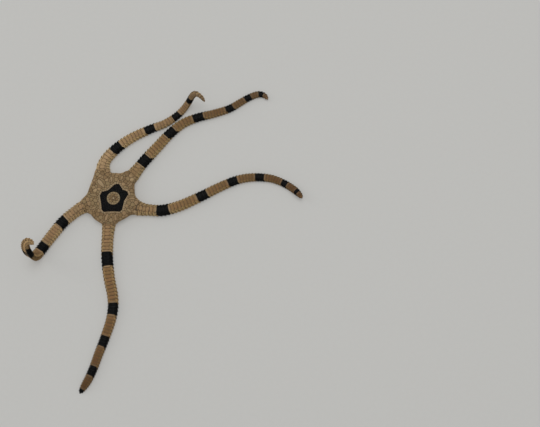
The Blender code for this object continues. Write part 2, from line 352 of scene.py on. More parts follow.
class Joint:
    """One joint of an arm: where it lies, how wide it is and which of its plates are black."""

    def __init__(self, arm, number, start, end):
        self.number = number
        self.start = start
        self.length = end - start
        self.middle = (start + end) / 2
        self.half = float(arm.half_width(self.middle))
        self.scale = self.half / (ARM_WIDTH / 2)
        into_arm = min(1, max(0, number) / BASE_JOINTS)
        self.stand = math.sqrt(self.scale) * (0.5 + 0.5 * into_arm)
        self.unevenness = BASE_UNEVENNESS if number < BASE_JOINTS else UNEVENNESS
        self.black = bool(arm.depth_in_bands(self.middle, 0) > 0)

    def outline(self, corners, side, softness, points):
        """A plate's outline on the arm, from corners as (share of the joint, half widths round)."""
        flat = rounded(np.array(corners) * (self.length, self.half), softness * self.scale, points)
        return np.column_stack((self.start + flat[:, 0], flat[:, 1] / self.half * side))


class Arm:
    """One arm's route over the floor and its surface."""

    def __init__(self, name):
        self.name = name
        x, y, degrees, half_width = ARM_JOINS[name]
        outward = direction(degrees)
        knots = [Vector((x, y, 0)) + outward * GAP, *map(Vector, ARM_ROUTES[name])]
        before = knots[1] - 2 * outward * (knots[1] - knots[0]).length
        knots = [before, *knots, 2 * knots[-1] - knots[-2]]
        points = []
        for a, b, c, d in zip(knots, knots[1:], knots[2:], knots[3:]):
            count = max(2, round((c - b).length / ROUTE_STEP))
            points += [spline_point(a, b, c, d, i / count) for i in range(count)]
        points.append(knots[-2])
        points = [Vector((point.x, point.y, max(point.z, 0))) for point in points]
        last = len(points) - 1
        ahead = [(points[min(i + 1, last)] - points[max(i - 1, 0)]).normalized() for i in range(last + 1)]
        back = [Vector((0, 0, 1))]
        for near, far in zip(ahead, ahead[1:]):
            turned = near.rotation_difference(far) @ back[-1]
            back.append((turned - far * turned.dot(far)).normalized())
        self.flare = half_width - ARM_WIDTH / 2 * ARM_INSET
        self.join = np.array((x, y, 0.0))
        self.outward = np.array(outward)
        self.points = np.array(points)
        self.ahead = np.array(ahead)
        self.back = np.array(back)
        self.lengths = distances(self.points)
        self.length = self.lengths[-1]
        self.joint_ends = self.find_joint_ends()
        self.band_ends = self.find_band_ends()
        random = np.random.default_rng(SEED + int(name[-1]))
        self.flank_shifts = random.uniform(*BAND_ON_FLANKS, (len(self.band_ends), 2, 2)) * JOINT_LENGTHS[name]
        self.flank_shifts[-1, 1, 1] += CURL_RUN_ON.get(name, 0)
        self.joints = [
            Joint(self, number - INNER_JOINTS, start, end)
            for number, (start, end) in enumerate(zip(self.joint_ends, self.joint_ends[1:]))
        ]

    def find_joint_ends(self):
        """Distances from the disc at which the joints start and end."""
        length = JOINT_LENGTHS[self.name]
        ends = [0.0]
        while ends[-1] < self.length:
            into_end = max(0, (ends[-1] / self.length - JOINTS_EVEN_TO) / (1 - JOINTS_EVEN_TO))
            ends.append(ends[-1] + length * (1 - JOINT_SHORTENING * into_end))
        inner = -length * np.arange(INNER_JOINTS, 0, -1)
        return np.concatenate((inner, np.array(ends) * self.length / ends[-1]))

    def find_band_ends(self):
        """Where each black band starts and ends, at a joint's end if that is near."""
        middles, bands = np.array(ARM_BANDS[self.name]).T
        ends = np.column_stack((middles - bands / 2, middles + bands / 2))
        nearest = self.joint_ends[np.abs(ends[..., None] - self.joint_ends).argmin(axis=-1)]
        return np.where(np.abs(nearest - ends) < BAND_SNAP, nearest, ends)

    def depth_in_bands(self, along, across):
        """How far inside a black band places lie. It is negative outside the bands."""
        along, across = np.broadcast_arrays(along, across)
        side = (np.mod(across, SECTION_ROUND) > SOLE).astype(int)
        around = from_ridge(across)
        flank = np.clip((around - BACK_PLATE_HALF) / (FLANK_TOP - BACK_PLATE_HALF), 0, 1)
        flank *= np.clip((SOLE - around) / SOLE_HALF, 0, 1)
        depth = np.full(along.shape, -np.inf)
        for (start, end), shifts in zip(self.band_ends, self.flank_shifts):
            inside = along - start + shifts[side, 0] * flank
            left = end - along + shifts[side, 1] * flank
            depth = np.maximum(depth, np.minimum(inside, left))
        return depth

    def band(self, along, across):
        """The mark for the black bands, one half on their ends."""
        return np.clip(0.5 + self.depth_in_bands(along, across) / BAND_MARK_RANGE, 0, 1)

    def tone(self, length, random):
        """A plate's tone, which varies a little from plate to plate and changes towards the tip."""
        tone, _, at_tip, _, _ = ARM_TONES[self.name]
        return tone + at_tip * self.into_end(length) + random.uniform(-TONE_SPREAD, TONE_SPREAD)

    def into_end(self, along):
        """0 for most of the arm and 1 at its tip."""
        return np.clip((along / self.length - 1) / END_SHARE + 1, 0, 1)

    def paleness(self, along):
        _, _, _, pale, at_tip = ARM_TONES[self.name]
        return pale + at_tip * self.into_end(along)

    def half_width(self, along):
        share = np.clip(np.asarray(along) / self.length, 0, 1)
        tip_share = ARM_TIP_SHARES[self.name]
        into_tip = np.maximum(0, (share - 1 + tip_share) / tip_share)
        width = ARM_WIDTH * (1 - ARM_TAPERS[self.name] * share) * np.sqrt(np.maximum(0, 1 - into_tip**2))
        return np.maximum(width, ARM_END_WIDTH) / 2 * ARM_INSET

    def base_flare(self, along):
        return self.flare * np.clip(1 - np.asarray(along) / ARM_FLARE_LENGTH, 0, 1) ** 2

    def surface(self, along, across, height):
        """Points at distances from the disc, half widths round from the ridge, and heights off the plates."""
        inside = np.clip(along, 0, self.length)
        point, ahead, back = (
            np.stack([np.interp(inside, self.lengths, rows[:, axis]) for axis in range(3)], axis=-1)
            for rows in (self.points, self.ahead, self.back)
        )
        ahead /= np.linalg.norm(ahead, axis=-1, keepdims=True)
        side = np.cross(ahead, back)
        side /= np.linalg.norm(side, axis=-1, keepdims=True)
        back = np.cross(side, ahead)
        x, y, normal_x, normal_y = (
            np.interp(np.mod(across, SECTION_ROUND), SECTION[0], row) for row in SECTION[1:]
        )
        half = self.half_width(inside)
        lift = SOLE_LIFT * half / (ARM_WIDTH / 2)
        aside = x * (half + self.base_flare(inside)) + normal_x * height
        up = np.maximum(lift + y * (half - lift / RIDGE) + normal_y * height, LOWEST)
        return (
            point + ahead * (np.asarray(along) - inside)[..., None]
            + side * aside[..., None] + back * up[..., None]
        )

    def along_share(self, along, across):
        return np.clip(along / self.length, 0, 1) * ARM_TONES[self.name][1]

    def flank(self, along, across):
        """0 on the back, 1 on the flanks and less on the sole and by the disc. It sets how much a place gets of the
        flanks' paler colour, which is partly painted light.
        """
        around = from_ridge(across)
        reached = np.clip((around - FLANK_FROM) / (FLANK_TO - FLANK_FROM), 0, 1)
        reached -= (1 - FLANK_ON_SOLE) * np.clip((around - FLANK_TO) / (SOLE - FLANK_TO), 0, 1)
        return reached * np.clip(FLANK_AT_DISC + along / FLANK_REACH, FLANK_AT_DISC, 1)

    def cream(self, along, across):
        """How pale a place is, by its arm and for lying beside a black band."""
        beside = np.clip(1.5 + self.depth_in_bands(along, across) / CREAM_WIDTH, 0, 1)
        fades = (1 - 0.7 * self.flank(along, across)) * (1 - 0.5 * along / self.length)
        return self.paleness(along) + CREAM_STRENGTH * beside * fades

    def brown_marks_and_painted_shade(self, along, across):
        """The brown mark just before each joint's end, partly painted shade in the gap between one side plate and the
        next: a spot on each flank and a faint line over the back.
        """
        joints = np.interp(along, self.joint_ends, np.arange(len(self.joint_ends)))
        phase = (joints - SPOT_PHASE + 0.5) % 1 - 0.5
        line = np.exp(-((phase / SPOT_LENGTH) ** 2))
        out = np.clip(along / self.length, 0, 1)
        spot = SPOT_STRENGTH * np.exp(-(((from_ridge(across) - SPOT_AT) / SPOT_WIDTH) ** 2)) * (0.5 + 0.5 * out)
        return np.clip(line * np.maximum(spot, SPOT_ON_BACK * out), 0, 1)


# The disc

class Disc:
    """The disc's surface. Its back and rim are unrolled from the centre, and its sole is seen flat."""

    ROWS = 720
    COLUMNS = 160

    def __init__(self):
        corners = [self.join_corners(name) for name in ARM_JOINS]
        outline = []
        at_arm = []
        for number, edge in enumerate(DISC_EDGES):
            left, right = corners[number]
            next_left = corners[(number + 1) % len(corners)][0]
            between = spline((right, *edge, next_left), 2)[1:-1]
            outline += [left, right, *between]
            at_arm.append((math.degrees(math.atan2(*left[::-1])), math.degrees(math.atan2(*right[::-1]))))
        self.outline = RoundOutline(np.array(outline))
        self.outline.soften(2.5)
        angles = np.arange(self.ROWS) * 360 / self.ROWS
        by_arm = np.zeros(self.ROWS)
        for left, right in at_arm:
            by_arm[(left - angles) % 360 < (left - right) % 360] = 1
        blur = np.zeros(self.ROWS)
        blur[np.arange(-6, 7)] = 1 / 13
        by_arm = np.fft.ifft(np.fft.fft(by_arm) * np.fft.fft(blur)).real
        section = spline(DISC_SECTION, 12)
        reach = self.outline.radius(angles)
        out = section[:, 0] * reach[:, None]
        up = section[:, 1] + (section[:, 2] - section[:, 1]) * by_arm[:, None]
        shares = np.linspace(0, 1, self.COLUMNS + 1)
        self.out = np.zeros((self.ROWS, self.COLUMNS + 1))
        self.up = np.zeros_like(self.out)
        self.total = np.zeros(self.ROWS)
        for row in range(self.ROWS):
            lengths = distances(np.column_stack((out[row], up[row])))
            self.total[row] = lengths[-1]
            self.out[row] = np.interp(shares * lengths[-1], lengths, out[row])
            self.up[row] = np.interp(shares * lengths[-1], lengths, up[row])

    @staticmethod
    def join_corners(name):
        x, y, degrees, half_width = ARM_JOINS[name]
        aside = np.array(direction(degrees + 90))[:2] * half_width
        return np.array((x, y)) + aside, np.array((x, y)) - aside

    def section_share(self, x, y):
        """The share of the section's length at which unrolled places lie."""
        row = np.degrees(np.arctan2(y, x)) % 360 * self.ROWS / 360
        total = np.interp(row, np.arange(self.ROWS + 1), np.append(self.total, self.total[0]))
        return np.hypot(x, y) / total

    def back_place(self, x, y):
        """Points of the back and rim at unrolled places."""
        angle = np.arctan2(y, x)
        row = np.degrees(angle) % 360 * self.ROWS / 360
        column = np.clip(self.section_share(x, y), 0, 1) * self.COLUMNS
        low_row, low_column = (np.floor(value).astype(int) for value in (row, column))
        low_column = np.minimum(low_column, self.COLUMNS - 1)
        row_share, column_share = row - low_row, column - low_column
        out, up = (
            (table[low_row % self.ROWS, low_column] * (1 - column_share)
             + table[low_row % self.ROWS, low_column + 1] * column_share) * (1 - row_share)
            + (table[(low_row + 1) % self.ROWS, low_column] * (1 - column_share)
               + table[(low_row + 1) % self.ROWS, low_column + 1] * column_share) * row_share
            for table in (self.out, self.up)
        )
        return np.stack((np.cos(angle) * out, np.sin(angle) * out, up), axis=-1)

    def back(self, x, y, height):
        return lifted(self.back_place, x, y, np.asarray(height) - DISC_INSET)

    def sole_place(self, x, y):
        share = np.hypot(x, y) / self.outline.radius(np.degrees(np.arctan2(y, x)))
        section = spline(DISC_SECTION, 12)[-24:][::-1]
        return np.stack((x, y, np.interp(share, section[:, 0], section[:, 1])), axis=-1)

    def sole(self, x, y, height):
        return lifted(self.sole_place, x, y, np.asarray(height) - DISC_INSET, outward=-1)


# Meshes

def add_mesh(name, points, faces, material, maps=None, marks=None):
    """An object from points in millimetres and groups of faces with equally many corners each."""
    mesh = bpy.data.meshes.new(name)
    corners = np.concatenate([group.ravel() for group in faces])
    sizes = np.concatenate([np.full(len(group), group.shape[1]) for group in faces])
    mesh.vertices.add(len(points))
    mesh.vertices.foreach_set("co", ((points + DISC_CENTRE) * MM).astype(np.float32).ravel())
    mesh.loops.add(len(corners))
    mesh.loops.foreach_set("vertex_index", corners.astype(np.int32))
    mesh.polygons.add(len(sizes))
    mesh.polygons.foreach_set("loop_start", np.concatenate(([0], np.cumsum(sizes)[:-1])).astype(np.int32))
    mesh.update(calc_edges=True)
    mesh.shade_smooth()
    for mark, values in (marks or {}).items():
        mesh.attributes.new(mark, "FLOAT", "POINT").data.foreach_set("value", values.astype(np.float32).ravel())
    if maps is not None:
        layer = mesh.uv_layers.new(name="OFBake")
        layer.data.foreach_set("uv", np.concatenate([group.reshape(-1, 2) for group in maps]).astype(np.float32).ravel())
    mesh.materials.append(material)
    obj = bpy.data.objects.new(name, mesh)
    bpy.context.scene.collection.objects.link(obj)
    return obj


def enclosed_volume(points, faces):
    total = 0.0
    for group in faces:
        for corner in range(1, group.shape[1] - 1):
            a, b, c = (points[group[:, index]] for index in (0, corner, corner + 1))
            total += np.einsum("ij,ij->i", a, np.cross(b, c)).sum()
    return total / 6


class Plates:
    """Many small closed shells on one surface, joined into one mesh."""

    MARKS = ("tone", "black", "band", "cream", "spot", "along", "flank", "rim")
    TYPICAL_SIZE = 0.8  # radius for which the map's rings are spaced
    TOP_PATCH = (0.40, 0.60, 0.37)  # x, y and radius of a shell's upper side in its square of the map
    BOTTOM_PATCH = (0.85, 0.15, 0.12)

    def __init__(self, name, surface, shell, points, fields=None):
        self.name = name
        self.surface = surface
        self.shell = np.array(shell)
        self.points = points
        self.fields = fields or {}
        self.outlines = []
        self.rows = []

    def add(self, outline, thickness=1.0, rise=(0.0, 0.0), **marks):
        """Adds a shell. rise is how far its start and its end stand off the surface."""
        self.outlines.append(outline if signed_area(outline) > 0 else outline[::-1])
        self.rows.append((thickness, *rise, *(marks.get(mark, 0.0) for mark in self.MARKS)))

    def faces(self):
        """Corner numbers of one shell's faces: the top fan, the rings and the bottom fan."""
        rings = len(self.shell) - 2
        here = np.arange(self.points)
        after = np.roll(here, -1)
        top = np.column_stack((np.zeros_like(here), 1 + here, 1 + after))
        strips = [
            np.column_stack((here, here + self.points, after + self.points, after)) + 1 + ring * self.points
            for ring in range(rings - 1)
        ]
        last = 1 + (rings - 1) * self.points
        bottom = np.column_stack((np.full_like(here, last + self.points), last + after, last + here))
        return top, np.concatenate(strips), bottom

    def patches(self, outlines):
        """Each shell's map points on its upper side and on its bottom, from -1 to 1."""
        spread = outlines - outlines.mean(axis=1, keepdims=True)
        size = np.linalg.norm(spread, axis=2).max(axis=1)[:, None, None]
        shape = spread / size
        lengths = distances(self.shell * (self.TYPICAL_SIZE, 1))[1:-1]
        rings = shape[:, None] * (lengths / lengths[-1])[:, None, None]
        count = len(outlines)
        middle = np.zeros((count, 1, 2))
        upper = np.concatenate((middle, rings.reshape(count, -1, 2), middle), axis=1)
        lower = np.concatenate((middle, np.repeat(shape[:, None], rings.shape[1], axis=1).reshape(count, -1, 2), middle), axis=1)
        return upper, lower

    def build(self, material):
        outlines = np.array(self.outlines)
        count = len(outlines)
        rows = np.array(self.rows)
        shares, heights = self.shell.T
        middles = outlines.mean(axis=1)
        rings = middles[:, None, None] + (outlines - middles[:, None])[:, None] * shares[1:-1, None, None]
        flat = np.concatenate((middles[:, None], rings.reshape(count, -1, 2), middles[:, None]), axis=1)
        start = outlines[..., 0].min(axis=1)[:, None]
        span = np.ptp(outlines[..., 0], axis=1)[:, None]
        thickness, low, high = (rows[:, column, None] for column in range(3))
        profile = np.concatenate((heights[:1], np.repeat(heights[1:-1], self.points), heights[-1:]))
        height = thickness * profile + low + (high - low) * (flat[..., 0] - start) / span
        places = self.surface(flat[..., 0], flat[..., 1], height).reshape(-1, 3)
        marks = {
            mark: np.repeat(rows[:, 3 + number, None], flat.shape[1], axis=1)
            for number, mark in enumerate(self.MARKS)
        }
        marks["rim"][:] = np.concatenate(([0.0], np.repeat(shares[1:-1], self.points), [1.0]))
        for mark, field in self.fields.items():
            marks[mark] = field(flat[..., 0], flat[..., 1])
        shift = (np.arange(count) * flat.shape[1])[:, None, None]
        groups = [(group[None] + shift).reshape(-1, group.shape[1]) for group in self.faces()]
        maps = self.map_corners(outlines)
        if enclosed_volume(places, groups) < 0:
            groups = [group[:, ::-1] for group in groups]
            maps = [group[:, ::-1] for group in maps]
        return add_mesh(self.name, places, groups, material, maps, marks)

    def map_corners(self, outlines):
        """The map places of every face's corners. Each shell has its own square of the map."""
        count = len(outlines)
        across = math.ceil(math.sqrt(count))
        square = np.column_stack((np.arange(count) % across, np.arange(count) // across))[:, None]
        upper, lower = self.patches(outlines)
        placed = [
            (square + np.array(patch[:2]) + points * patch[2]) / across
            for points, patch in ((upper, self.TOP_PATCH), (lower, self.BOTTOM_PATCH))
        ]
        return [
            placed[side][:, group].reshape(-1, group.shape[1], 2)
            for group, side in zip(self.faces(), (0, 0, 1))
        ]


def closed_loft(name, rings, first, last, material):
    """A closed mesh through rings of equally many points, with a middle point at each end."""
    count = len(rings[0])
    points = np.vstack((first, *rings, last))
    here = np.arange(count)
    after = np.roll(here, -1)
    top = np.column_stack((np.zeros_like(here), 1 + here, 1 + after))
    strips = np.concatenate([
        np.column_stack((here, here + count, after + count, after)) + 1 + ring * count
        for ring in range(len(rings) - 1)
    ])
    start = 1 + (len(rings) - 1) * count
    bottom = np.column_stack((np.full_like(here, start + count), start + after, start + here))
    groups = [top, strips, bottom]
    if enclosed_volume(points, groups) < 0:
        groups = [group[:, ::-1] for group in groups]
    return add_mesh(name, points, groups, material)


# Cells of plates that share out an area

def clipped(polygon, normal, limit):
    """The part of a polygon that lies no further than limit along normal."""
    kept = []
    distance = polygon @ normal - limit
    for i, here in enumerate(polygon):
        before = i - 1
        if (distance[before] < 0) != (distance[i] < 0):
            share = distance[before] / (distance[before] - distance[i])
            kept.append(polygon[before] + (here - polygon[before]) * share)
        if distance[i] < 0:
            kept.append(here)
    return np.array(kept)


class Mosaic:
    """Seeds of plates, each with its size and kind. A seed with no kind only keeps its place empty."""

    REACH = 3.4

    def __init__(self, seed):
        self.random = np.random.default_rng(seed)
        self.places = []
        self.sizes = []
        self.kinds = []

    def plant(self, place, size, kind=None):
        self.places.append(np.array(place, float))
        self.sizes.append(size)
        self.kinds.append(kind)

    def scatter(self, half, size, kind_at, tries):
        """Plants seeds at random wherever kind_at gives a kind and the others leave room."""
        for place in self.random.uniform(-half, half, (tries, 2)):
            kind = kind_at(place, size)
            if kind == "outside":
                continue
            away = np.linalg.norm(np.array(self.places) - place, axis=1)
            if np.all(away > 0.92 * (np.array(self.sizes) + size)):
                self.plant(place, size, kind)

    def cells(self):
        """(kind, size, outline) of every seed that has a kind."""
        places = np.array(self.places)
        weights = np.array(self.sizes) ** 2
        square = np.array(((-1, -1), (1, -1), (1, 1), (-1, 1))) * self.REACH / 2
        for number, (place, kind) in enumerate(zip(places, self.kinds)):
            if kind is None:
                continue
            away = np.linalg.norm(places - place, axis=1)
            near = [other for other in np.argsort(away)[1:] if away[other] < self.REACH]
            cell = square + place
            for other in near:
                toward = (places[other] - place) / away[other]
                share = (away[other] ** 2 + weights[number] - weights[other]) / (2 * away[other])
                cell = clipped(cell, toward, place @ toward + share)
                if len(cell) < 3:
                    break
            if len(cell) >= 3:
                yield kind, self.sizes[number], cell


def cell_outline(cell, groove, softness, points):
    """A cell's outline, drawn in by half a groove and with softened corners."""
    middle = cell.mean(axis=0)
    size = math.sqrt(abs(signed_area(cell)) / math.pi)
    return rounded(middle + (cell - middle) * max(0.5, 1 - groove / size), softness * size, points)


def egg(middle, degrees, length, width, points=48):
    """An egg-shaped outline, wider at the end it points to."""
    turn = np.linspace(0, 2 * math.pi, points, endpoint=False)
    along = np.cos(turn) * length / 2
    across = np.sin(turn) * width / 2 * (0.85 + 0.25 * np.cos(turn))
    ahead = polar(degrees, 1)
    return middle + along[:, None] * ahead + across[:, None] * np.array((-ahead[1], ahead[0]))


def plant_border(mosaic, outline, offset, spacing, inner, outer, size):
    """Plants seeds in pairs along both sides of a closed line, so that the cells meet on it."""
    closed = np.vstack((outline, outline[:1]))
    reach = distances(closed)
    count = max(5, round(reach[-1] / spacing))
    steps = (np.arange(count) + 0.5) * reach[-1] / count
    step = 0.05
    places, ahead = (
        np.column_stack([np.interp((steps + shift) % reach[-1], reach, closed[:, axis]) for axis in (0, 1)])
        for shift in (0, step)
    )
    tangent = (ahead - places) / np.linalg.norm(ahead - places, axis=1, keepdims=True)
    side = np.column_stack((tangent[:, 1], -tangent[:, 0]))
    if signed_area(outline) < 0:
        side = -side
    for place, outward in zip(places, side):
        mosaic.plant(place - outward * offset, size, inner)
        mosaic.plant(place + outward * offset, size, outer)


# Materials

class Finish:
    """A material and short ways to add nodes to it."""

    def __init__(self, name):
        self.material = bpy.data.materials.new(name)
        self.material.use_nodes = True
        self.nodes = self.material.node_tree.nodes
        self.links = self.material.node_tree.links
        self.shader = self.nodes["Principled BSDF"]

    def set(self, node, **inputs):
        for name, value in inputs.items():
            socket = node.inputs[name.replace("_", " ")]
            if isinstance(value, bpy.types.NodeSocket):
                self.links.new(value, socket)
            else:
                socket.default_value = value

    def mark(self, name):
        node = self.nodes.new("ShaderNodeAttribute")
        node.attribute_name = name
        return node.outputs["Fac"]

    def noise(self, size, detail=3.0, roughness=0.55):
        """Soft random values whose blotches are about that many millimetres across."""
        place = self.nodes.new("ShaderNodeTexCoord").outputs["Object"]
        node = self.nodes.new("ShaderNodeTexNoise")
        self.set(node, Vector=place, Scale=1 / (size * MM), Detail=detail, Roughness=roughness)
        return node.outputs["Fac"]

    def ramp(self, value, stops):
        """Values from 0 to 1 as colours, or as greys where the stops are numbers."""
        node = self.nodes.new("ShaderNodeValToRGB")
        self.links.new(value, node.inputs["Fac"])
        elements = node.color_ramp.elements
        while len(elements) < len(stops):
            elements.new(0.5)
        for element, (position, colour) in zip(elements, stops):
            element.position = position
            element.color = (*colour, 1) if isinstance(colour, tuple) else (colour, colour, colour, 1)
        return node.outputs["Color"]

    def math(self, operation, a, b, clamp=False):
        node = self.nodes.new("ShaderNodeMath")
        node.operation = operation
        node.use_clamp = clamp
        for socket, value in zip(node.inputs, (a, b)):
            if isinstance(value, bpy.types.NodeSocket):
                self.links.new(value, socket)
            else:
                socket.default_value = value
        return node.outputs[0]

    def mix(self, share, a, b, blend="MIX"):
        node = self.nodes.new("ShaderNodeMix")
        node.data_type = "RGBA"
        node.blend_type = blend
        for socket, value in ((node.inputs[0], share), (node.inputs[6], a), (node.inputs[7], b)):
            if isinstance(value, bpy.types.NodeSocket):
                self.links.new(value, socket)
            else:
                socket.default_value = (*value, 1) if isinstance(value, tuple) else value
        return node.outputs[2]

    def bump(self, height, strength, depth):
        node = self.nodes.new("ShaderNodeBump")
        self.set(node, Height=height, Strength=strength, Distance=depth * MM)
        self.links.new(node.outputs["Normal"], self.shader.inputs["Normal"])


BLACK = (0.0018, 0.0017, 0.0015)
# A painted sheen: a slightly paler blue-grey mottled into the black plates
BLACK_PAINTED_SHEEN = (0.0036, 0.0038, 0.0038)
CREAM = (0.62, 0.54, 0.38)
# Brown of the marks by the joints, partly painted shade between the side plates
SPOT_BROWN_AND_PAINTED_SHADE = (0.075, 0.052, 0.028)
# Painted shade on each plate's edge where it dips into the groove
PAINTED_GROOVE_SHADE = (0.085, 0.055, 0.030)
FLANK_TINT_AND_PAINTED_LIGHT = (2.30, 2.62, 2.60)  # multiplied into the colour of the flanks: partly their own paler, more olive colour, partly painted light that brightens the shade on them
TONES = (  # multiplied into the plates' colour, from plate to plate
    (0.0, (0.62, 0.58, 0.54)), (0.25, (0.90, 0.84, 0.76)), (0.45, (0.95, 0.98, 0.94)),
    (0.6, (1.07, 1.01, 0.98)), (0.8, (1.22, 1.22, 1.20)), (1.0, (1.6, 1.65, 1.7)),
)
ARM_COLOURS = (  # from the disc to the tip
    (0.0, (0.345, 0.222, 0.112)), (0.1, (0.325, 0.200, 0.098)), (0.25, (0.275, 0.161, 0.072)),
    (0.45, (0.240, 0.135, 0.059)), (0.65, (0.205, 0.111, 0.048)), (0.85, (0.155, 0.080, 0.033)),
    (1.0, (0.125, 0.062, 0.026)),
)
DISC_COLOURS = ((0.0, (0.315, 0.218, 0.117)), (1.0, (0.315, 0.218, 0.117)))


def plate_finish(name, colours):
    """Limy plates: tan, black or cream by plate, mottled, with painted shade on their edges and a fine grain."""
    finish = Finish(name)
    mottle = finish.noise(0.9)
    grain = finish.noise(0.16, 4.0, 0.65)
    colour = finish.ramp(finish.mark("along"), colours)
    # The flanks are paler: partly their own colour, partly painted light that brightens their shade
    colour = finish.mix(finish.mark("flank"), colour, finish.mix(1.0, colour, FLANK_TINT_AND_PAINTED_LIGHT, "MULTIPLY"))
    colour = finish.mix(1.0, colour, finish.ramp(finish.mark("tone"), TONES), "MULTIPLY")
    colour = finish.mix(1.0, colour, finish.ramp(mottle, ((0.3, 0.80), (0.7, 1.12))), "MULTIPLY")
    colour = finish.mix(1.0, colour, finish.ramp(grain, ((0.35, 0.90), (0.65, 1.06))), "MULTIPLY")
    colour = finish.mix(finish.mark("cream"), colour, CREAM)
    # Painted shade on the edge of each plate, where it dips into the groove
    edge = finish.ramp(finish.mark("rim"), ((0.88, 0.0), (1.0, 0.45)))
    colour = finish.mix(edge, colour, PAINTED_GROOVE_SHADE)
    # Brown marks by each joint's end, partly painted shade in the gaps between side plates
    spot = finish.math("MULTIPLY", finish.mark("spot"), finish.ramp(mottle, ((0.35, 0.4), (0.6, 1.0))), True)
    colour = finish.mix(spot, colour, SPOT_BROWN_AND_PAINTED_SHADE)
    # Black plates mottled with a painted sheen
    black = finish.mix(finish.ramp(mottle, ((0.4, 0.0), (0.65, 1.0))), BLACK, BLACK_PAINTED_SHEEN)
    colour = finish.mix(finish.mark("black"), colour, black)
    ragged = finish.math("ADD", finish.mark("band"), finish.ramp(grain, ((0.3, -0.02), (0.7, 0.02))))
    colour = finish.mix(finish.ramp(ragged, ((0.46, 0.0), (0.54, 1.0))), colour, black)
    roughness = finish.ramp(grain, ((0.3, 0.42), (0.7, 0.62)))
    finish.set(finish.shader, Base_Color=colour, Roughness=roughness)
    finish.shader.inputs["Specular IOR Level"].default_value = 0.08
    finish.bump(grain, 0.35, 0.05)
    return finish.material


def skin_finish():
    """The skin between the plates: dark brown, darker in the bands."""
    finish = Finish("star_skin")
    mottle = finish.noise(0.5)
    colour = finish.ramp(mottle, ((0.3, (0.070, 0.047, 0.026)), (0.7, (0.125, 0.084, 0.046))))
    colour = finish.mix(finish.mark("black"), colour, BLACK)
    finish.set(finish.shader, Base_Color=colour, Roughness=finish.ramp(mottle, ((0.3, 0.55), (0.7, 0.75))))
    finish.bump(mottle, 0.4, 0.06)
    return finish.material


def jaw_finish():
    """Pale limy jaws and teeth, with painted shade on their edges."""
    finish = Finish("jaws")
    mottle = finish.noise(0.5)
    colour = finish.ramp(mottle, ((0.3, (0.36, 0.26, 0.15)), (0.7, (0.52, 0.41, 0.26))))
    # Painted shade on the edge of each jaw and papilla
    edge = finish.ramp(finish.mark("rim"), ((0.75, 0.0), (1.0, 0.6)))
    colour = finish.mix(edge, colour, PAINTED_GROOVE_SHADE)
    finish.set(finish.shader, Base_Color=colour, Roughness=finish.ramp(mottle, ((0.3, 0.45), (0.7, 0.6))))
    finish.bump(mottle, 0.3, 0.05)
    return finish.material


def floor_finish():
    """Pale plastic that glows a little, painted light which softens the shadows on it."""
    finish = Finish("floor")
    mottle = finish.noise(2.0, 2.0)
    colour = finish.ramp(mottle, ((0.3, (0.382, 0.378, 0.362)), (0.7, (0.390, 0.386, 0.370))))
    finish.set(finish.shader, Base_Color=colour, Roughness=finish.ramp(mottle, ((0.3, 0.6), (0.7, 0.7))))
    # The floor's glow is painted light, not a lamp
    finish.set(finish.shader, Emission_Color=colour, Emission_Strength=FLOOR_PAINTED_GLOW)
    return finish.material


# The pieces

def dress(obj, slot, *nodes):
    """Makes a piece ride on the body and stand for the nodes given. The slot is not used."""
    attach(obj, ROOT)
    if nodes:
        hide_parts(*nodes)
    return obj


def arm_skin(arm, material):
    """The skin of one arm, from inside the disc to just short of the tip."""
    body = np.arange(-SKIN_START, arm.length - 1.0, 0.5)
    along = np.concatenate((body, np.linspace(arm.length - 0.8, arm.length - 0.25, 4)))
    across = np.linspace(0, SECTION_ROUND, 32, endpoint=False)
    rings = []
    for length in along:
        depth = -SKIN_DEPTH * float(arm.half_width(length)) / (ARM_WIDTH / 2)
        rings.append(arm.surface(np.full(32, length), across, np.full(32, depth)))
    middles = [rings[index].mean(axis=0) for index in (0, -1)]
    return closed_loft(f"{arm.name}_skin", rings, middles[0], middles[1], material)


def disc_skin(disc, material):
    """The skin of the disc, over the rim, under it and up into the mouth."""
    angles = np.arange(0, 360, 4.0)
    radians = np.radians(angles)
    rings = []
    for share in (0.12, 0.25, 0.38, 0.5, 0.6, 0.68, 0.74, 0.79, 0.84, 0.88, 0.92, 0.96, 0.995):
        reach = np.interp(angles, np.arange(disc.ROWS) * 360 / disc.ROWS, disc.total, period=360) * share
        rings.append(disc.back(np.cos(radians) * reach, np.sin(radians) * reach, np.full(len(angles), -SKIN_DEPTH)))
    edge = disc.outline.radius(angles) * 0.68
    for share, up in ((1.0, SKIN_DEPTH), (0.5, SKIN_DEPTH), (0.0, SKIN_DEPTH), (0.0, 1.0), (0.0, MOUTH_DEPTH)):
        out = MOUTH_RADIUS + (edge - MOUTH_RADIUS) * share
        rings.append(np.column_stack((np.cos(radians) * out, np.sin(radians) * out, np.full(len(angles), up))))
    top = disc.back(np.array(0.001), np.array(0.0), np.array(-SKIN_DEPTH))
    return closed_loft("star_skin", rings, top, np.array((0, 0, MOUTH_DEPTH)), material)


def skin_black(points, arms, star):
    """1 where the skin lies in a black band or in the black star of the disc."""
    black = np.zeros(len(points))
    for arm in arms:
        for start in range(0, len(points), 4000):
            some = points[start : start + 4000]
            away = np.linalg.norm(some[:, None] - arm.points[None], axis=2)
            length = arm.lengths[away.argmin(axis=1)]
            near = away.min(axis=1) < ARM_WIDTH
            inside = arm.depth_in_bands(length, 0) > -0.1
            black[start : start + 4000] = np.maximum(black[start : start + 4000], near & inside)
    on_star = star.holds(points[:, 0], points[:, 1]) & (points[:, 2] > 3)
    on_star &= np.hypot(points[:, 0], points[:, 1]) > ROSETTE_RADIUS
    return np.maximum(black, on_star)


